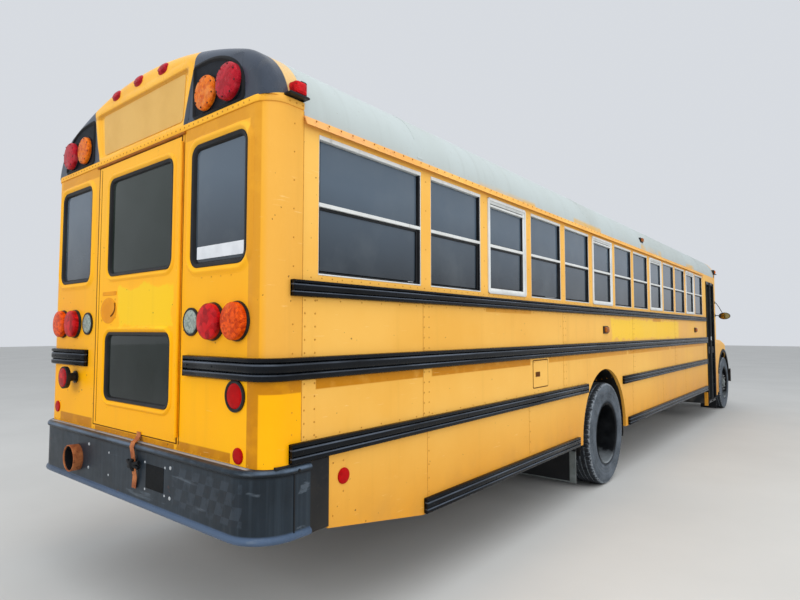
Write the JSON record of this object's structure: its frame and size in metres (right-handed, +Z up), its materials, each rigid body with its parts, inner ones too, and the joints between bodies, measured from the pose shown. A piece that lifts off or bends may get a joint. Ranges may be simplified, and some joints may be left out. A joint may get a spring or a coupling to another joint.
{
  "type": "school bus",
  "caption": "Long yellow school bus with a bonnet ahead of the body, ribbed sides, side windows, rear door, folding entrance, roof hatches and dual rear wheels.",
  "frame": {"origin": "centre of the bounding box on the ground", "axes": "+Z up, +Y towards the rear of the bus, +X towards its left side"},
  "size_m": [2.8499, 12.755, 3.1903],
  "materials": {
    "body_paint": "weathered gloss enamel",
    "roof_paint": "chalky enamel",
    "cap_paint": "faded black enamel",
    "black_trim": "black enamel",
    "bumper_paint": "worn black enamel",
    "chassis_black": "chassis paint, dusty",
    "white_frame": "white finished aluminium",
    "dark_glass": "tinted, dusty",
    "door_glass": "tinted",
    "lens_red": "moulded lens",
    "lens_amber": "moulded lens",
    "lens_clear": "moulded lens",
    "tyre_rubber": "dusty",
    "rim_paint": "black enamel",
    "axle_iron": "dusty",
    "spring_steel": "rusty",
    "engine_iron": "oily",
    "pipe_steel": "rusted",
    "rubber": "dusty",
    "seat_vinyl": "dark green coated fabric",
    "floor_rubber": "worn",
    "step_steel": "black enamel",
    "dash_plastic": "grained",
    "sign_red": "blank sign face",
    "mirror_shell": "enamel"
  },
  "bodies": {
    "root": {"chassis_frame": "chassis_black", "body_floor": "floor_rubber", "wheelhouses": "chassis_black", "side_wall_right": "body_paint", "side_wall_left": "body_paint", "skirts": "body_paint", "roof_shell": "roof_paint", "rear_wall": "body_paint", "rear_cap": "cap_paint", "front_cap": "cap_paint", "cowl": "body_paint", "rub_rails": "black_trim", "drip_rails": "black_trim", "window_frames": "white_frame", "window_glass": "dark_glass", "step_well": "step_steel", "rear_bumper": "bumper_paint", "front_bumper": "bumper_paint", "lamps_red": "lens_red", "lamps_amber": "lens_amber", "lamps_clear": "lens_clear", "rear_axle": "axle_iron", "front_axle": "axle_iron", "leaf_springs": "spring_steel", "drive_shaft": "axle_iron", "engine_block": "engine_iron", "fuel_tank": "chassis_black", "battery_box": "chassis_black", "exhaust_pipe": "pipe_steel", "mud_flaps": "rubber", "stop_bracket": "black_trim", "seats_right": "seat_vinyl", "seats_left": "seat_vinyl", "driver_seat": "seat_vinyl", "dashboard": "dash_plastic", "mirrors": "mirror_shell"},
    "bonnet": {"bonnet_shell": "body_paint", "grille": "black_trim", "headlamps": "lens_clear"},
    "knuckle_left": {"knuckle_left": "axle_iron"},
    "knuckle_right": {"knuckle_right": "axle_iron"},
    "tie_rod": {"tie_rod": "axle_iron"},
    "front_wheel_left": {"tyre_front_left": "tyre_rubber", "rim_front_left": "rim_paint"},
    "front_wheel_right": {"tyre_front_right": "tyre_rubber", "rim_front_right": "rim_paint"},
    "rear_wheels_left": {"tyres_rear_left": "tyre_rubber", "rims_rear_left": "rim_paint"},
    "rear_wheels_right": {"tyres_rear_right": "tyre_rubber", "rims_rear_right": "rim_paint"},
    "rear_door": {"rear_door": "body_paint", "rear_door_glass": "door_glass"},
    "entrance_leaf_rear": {"entrance_leaf_rear": "black_trim", "entrance_glass_rear": "door_glass"},
    "entrance_leaf_front": {"entrance_leaf_front": "black_trim", "entrance_glass_front": "door_glass"},
    "hatch_front": {"hatch_lid_front": "roof_paint"},
    "hatch_rear": {"hatch_lid_rear": "roof_paint"},
    "stop_arm": {"stop_arm": "sign_red"}
  },
  "joints": [
    {"name": "bonnet_tilt", "type": "hinge", "parent": "root", "child": "bonnet", "pos_m": [0, -6.2625, 0.815], "axis": [1, 0, 0], "range_deg": [0, 60]},
    {"name": "steer_left", "type": "hinge", "parent": "root", "child": "knuckle_left", "pos_m": [0.9, -5.4675, 0.525], "axis": [0, 0, 1], "range_deg": [-35, 35]},
    {"name": "steer_right", "type": "hinge", "parent": "root", "child": "knuckle_right", "pos_m": [-0.9, -5.4675, 0.525], "axis": [0, 0, 1], "range_deg": [-35, 35]},
    {"name": "tie_rod_swing", "type": "hinge", "parent": "knuckle_left", "child": "tie_rod", "pos_m": [0.9, -5.2875, 0.38], "axis": [0, 0, 1], "range_deg": [-35, 35]},
    {"name": "front_wheel_left_spin", "type": "hinge", "parent": "knuckle_left", "child": "front_wheel_left", "pos_m": [1.075, -5.4675, 0.525], "axis": [1, 0, 0], "continuous": true},
    {"name": "front_wheel_right_spin", "type": "hinge", "parent": "knuckle_right", "child": "front_wheel_right", "pos_m": [-1.075, -5.4675, 0.525], "axis": [1, 0, 0], "continuous": true},
    {"name": "rear_wheels_left_spin", "type": "hinge", "parent": "root", "child": "rear_wheels_left", "pos_m": [0.9, 1.8225, 0.525], "axis": [1, 0, 0], "continuous": true},
    {"name": "rear_wheels_right_spin", "type": "hinge", "parent": "root", "child": "rear_wheels_right", "pos_m": [-0.9, 1.8225, 0.525], "axis": [1, 0, 0], "continuous": true},
    {"name": "rear_door_swing", "type": "hinge", "parent": "root", "child": "rear_door", "pos_m": [-0.498, 6.2825, 1.83], "axis": [0, 0, 1], "range_deg": [0, 105]},
    {"name": "entrance_rear_swing", "type": "hinge", "parent": "root", "child": "entrance_leaf_rear", "pos_m": [-1.227, -3.6735, 1.4], "axis": [0, 0, -1], "range_deg": [0, 88]},
    {"name": "entrance_front_swing", "type": "hinge", "parent": "root", "child": "entrance_leaf_front", "pos_m": [-1.227, -4.3815, 1.4], "axis": [0, 0, 1], "range_deg": [0, 88]},
    {"name": "hatch_front_lift", "type": "hinge", "parent": "root", "child": "hatch_front", "pos_m": [0, -2.3225, 3.1763], "axis": [1, 0, 0], "range_deg": [0, 75]},
    {"name": "hatch_rear_lift", "type": "hinge", "parent": "root", "child": "hatch_rear", "pos_m": [0, 2.6275, 3.1763], "axis": [1, 0, 0], "range_deg": [0, 75]},
    {"name": "stop_arm_swing", "type": "hinge", "parent": "root", "child": "stop_arm", "pos_m": [1.274, -3.1435, 1.622], "axis": [0, 0, 1], "range_deg": [0, 90]}
  ],
  "couplings": [
    {"joint": "steer_right", "follows": "steer_left", "ratio": 1},
    {"joint": "tie_rod_swing", "follows": "steer_left", "ratio": -1},
    {"joint": "entrance_front_swing", "follows": "entrance_rear_swing", "ratio": 1}
  ]
}
